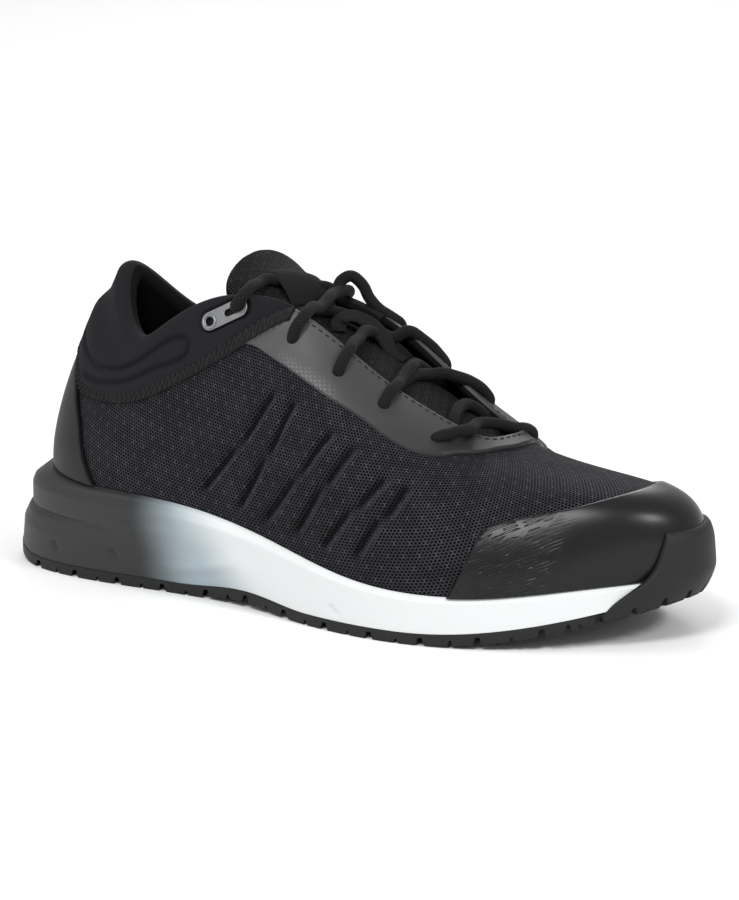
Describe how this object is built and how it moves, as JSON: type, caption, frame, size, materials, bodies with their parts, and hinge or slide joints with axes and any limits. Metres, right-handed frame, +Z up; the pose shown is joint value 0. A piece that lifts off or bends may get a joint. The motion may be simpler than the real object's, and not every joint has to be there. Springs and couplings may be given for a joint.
{
  "type": "low work shoe",
  "caption": "Low laced work shoe for the right foot with a padded collar, mesh upper, toe cap, foam midsole and a treaded rubber outsole that wraps up the toe.",
  "frame": {"origin": "centre of the bounding box in plan, at the ground the sole stands on", "axes": "+X toward the toe, +Y toward the inner side of the foot, +Z up"},
  "size_m": [0.3039, 0.1134, 0.131],
  "materials": {
    "outsole_rubber": "moulded dark rubber with cut tread",
    "midsole_foam": "satin moulded foam, white fading to dark grey at the heel",
    "upper_mesh": "coated black mesh",
    "insole_fabric": "dark lining fabric",
    "tongue_fabric": "padded dark mesh",
    "keeper_fabric": "plain woven band",
    "toe_cap_film": "satin black film",
    "counter_film": "smooth dark grey film",
    "eyestay_film": "smooth dark grey synthetic leather",
    "collar_fabric": "padded smooth fabric",
    "plate_metal": "satin metal",
    "lace_cord": "round braided black cord"
  },
  "bodies": {
    "root": {"outsole": "outsole_rubber", "midsole": "midsole_foam", "upper": "upper_mesh", "insole": "insole_fabric", "tongue": "tongue_fabric", "tongue_keeper": "keeper_fabric", "toe_cap": "toe_cap_film", "heel_counter": "counter_film", "eyestay": "eyestay_film", "collar": "collar_fabric", "lace_plate_lateral": "plate_metal", "lace_plate_medial": "plate_metal", "lace_bar_front": "lace_cord", "lace_cross_1": "lace_cord", "lace_cross_2": "lace_cord", "lace_cross_3": "lace_cord", "lace_bar_top": "lace_cord"}
  },
  "joints": []
}
